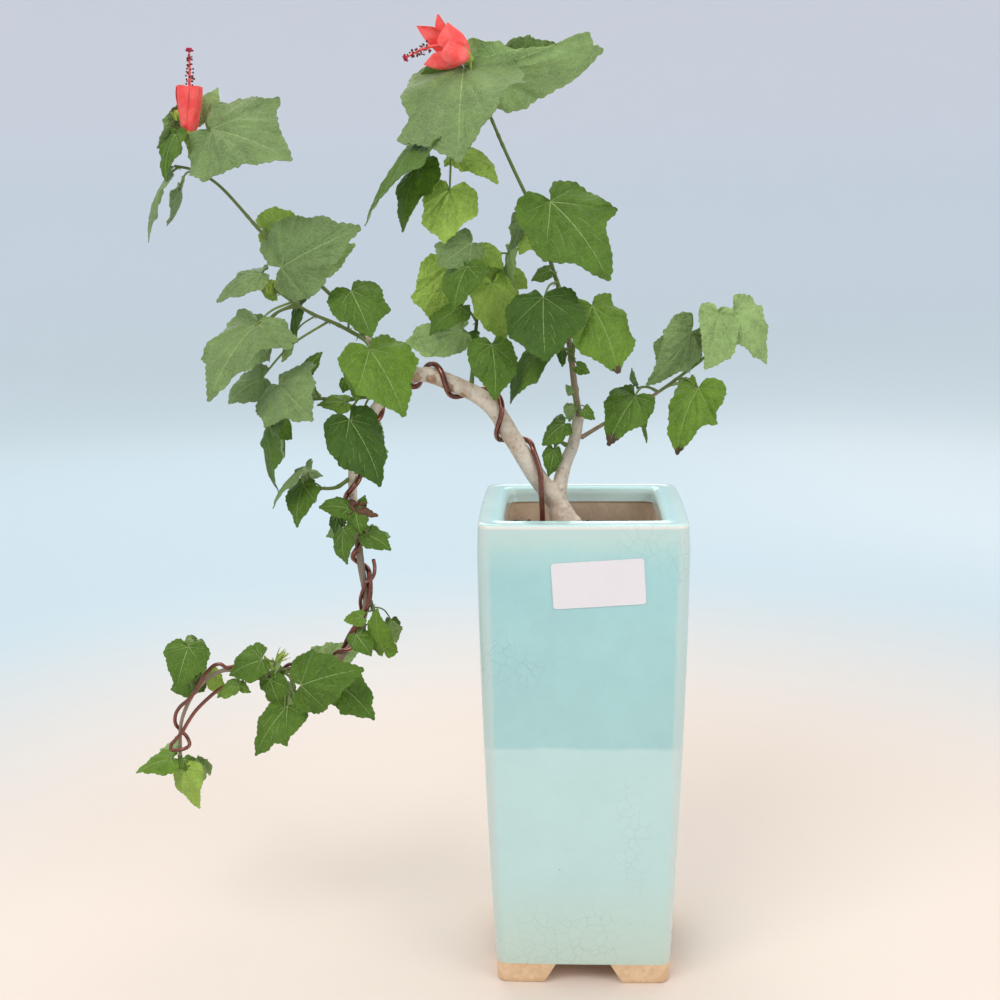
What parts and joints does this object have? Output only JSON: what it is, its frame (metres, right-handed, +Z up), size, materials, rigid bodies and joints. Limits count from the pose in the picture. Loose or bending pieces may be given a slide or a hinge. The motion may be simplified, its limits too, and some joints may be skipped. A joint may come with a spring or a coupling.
{
  "type": "cascade bonsai in a tall square pot",
  "caption": "Turk's cap mallow trained as a cascade bonsai: wired arching trunk limb, lobed leaves, red furled flowers, in a tall square turquoise glazed pot.",
  "frame": {"origin": "middle of the object's box in plan, on the ground under the pot's feet", "axes": "+Z up; the pot's sides face X and Y, its front face -Y; the cascade falls to -X"},
  "size_m": [0.3644, 0.1159, 0.5363],
  "materials": {
    "glaze": "glossy turquoise glaze with fine crackle, unglazed clay at the feet and inside",
    "soil": "rough dark potting soil",
    "label": "blank white sticker",
    "bark": "pale grey-tan bark, fine lenticels",
    "wire": "satin copper-brown training wire",
    "foliage": "soft green leaves, coral-red flowers"
  },
  "bodies": {
    "root": {"pot": "glaze", "soil": "soil", "label": "label", "trunk": "bark", "bough_rise": "bark", "bough_arch": "bark", "bough_drop": "bark", "bough_sweep": "bark", "bough_tip": "bark", "upright_stem": "bark", "upright_shoot": "bark", "crown_bough": "bark", "wire_upper": "wire", "wire_lower": "wire", "foliage_top_left": "foliage", "foliage_left_upper": "foliage", "foliage_left_middle": "foliage", "foliage_left_small": "foliage", "foliage_fall": "foliage", "foliage_bend": "foliage", "foliage_low_fan": "foliage", "foliage_tip_upper": "foliage", "foliage_tip_lower": "foliage", "foliage_crown_top": "foliage", "foliage_crown_middle": "foliage", "foliage_crown_right": "foliage", "foliage_shoulder": "foliage", "foliage_fork": "foliage", "foliage_right": "foliage"}
  },
  "joints": []
}
